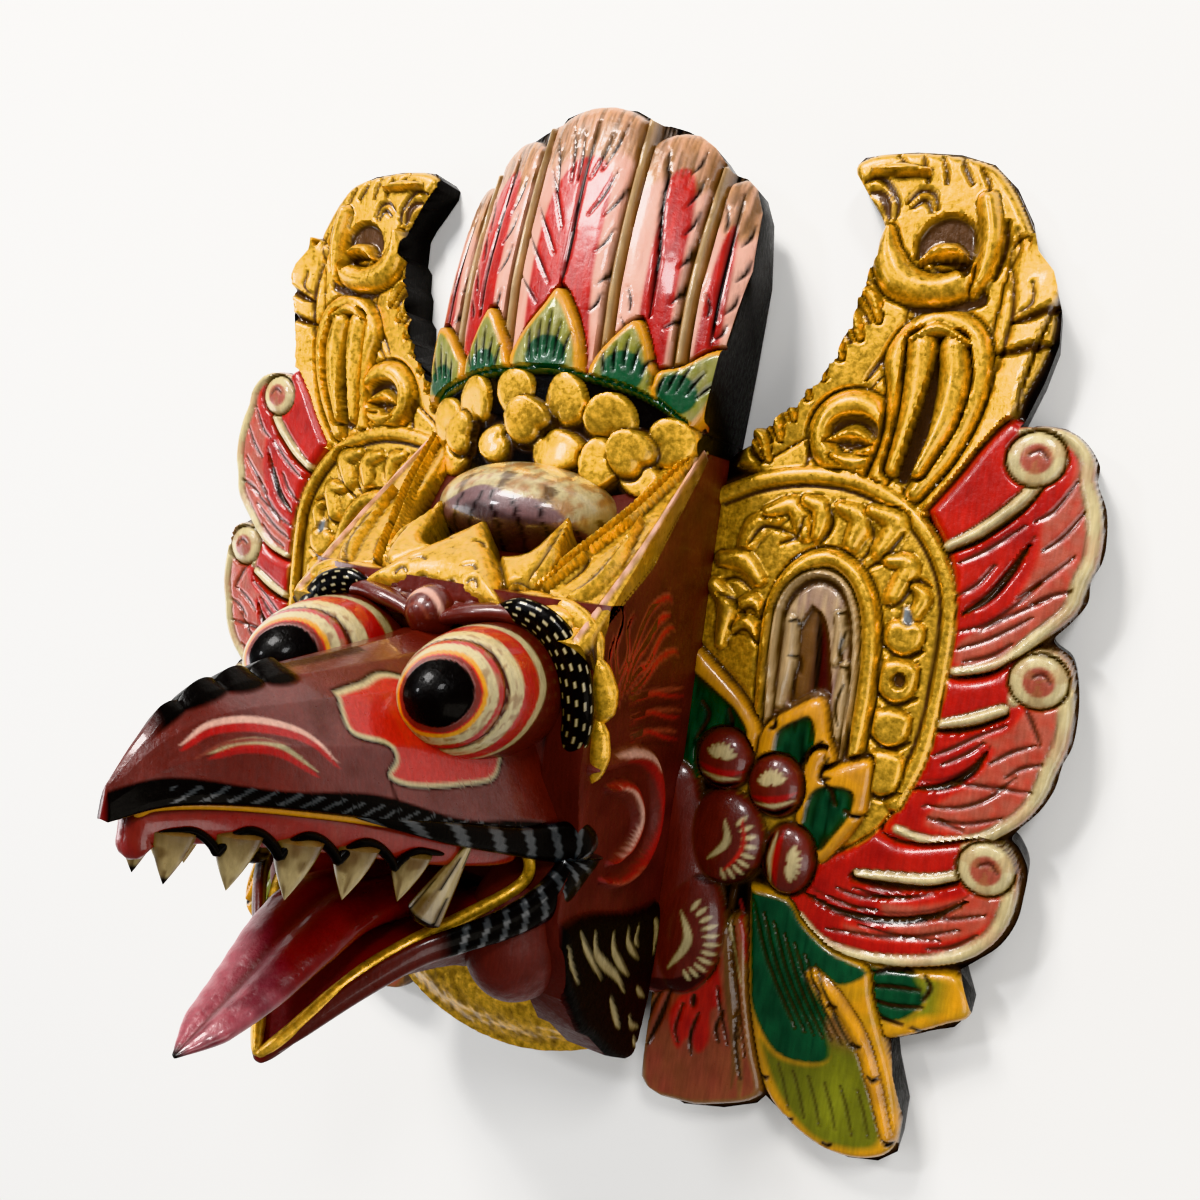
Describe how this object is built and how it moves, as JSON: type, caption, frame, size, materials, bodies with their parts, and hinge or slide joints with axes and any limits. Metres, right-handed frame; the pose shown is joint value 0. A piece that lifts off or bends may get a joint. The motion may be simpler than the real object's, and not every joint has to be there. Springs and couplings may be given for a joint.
{
  "type": "garuda mask",
  "caption": "Carved and painted wooden mask of a bird-headed mount deity with an open fanged beak, a feather crown and flat carved wing panels; lies on its flat back.",
  "frame": {"origin": "middle of the flat back, half way between the crown's tip and the lowest leaf", "axes": "+X to the viewer's right across the wings, +Y to the crown, +Z out of the face"},
  "size_m": [0.4066, 0.4006, 0.247],
  "materials": {
    "painted_head": "maroon, red, cream and black enamel with gold paint under clear varnish, worn at the edges",
    "gilded_wing": "gold, red, pink and green paint under clear varnish on carved wood, edges and back painted black"
  },
  "bodies": {
    "root": {"head": "painted_head", "wing_right": "gilded_wing", "wing_left": "gilded_wing"}
  },
  "joints": []
}
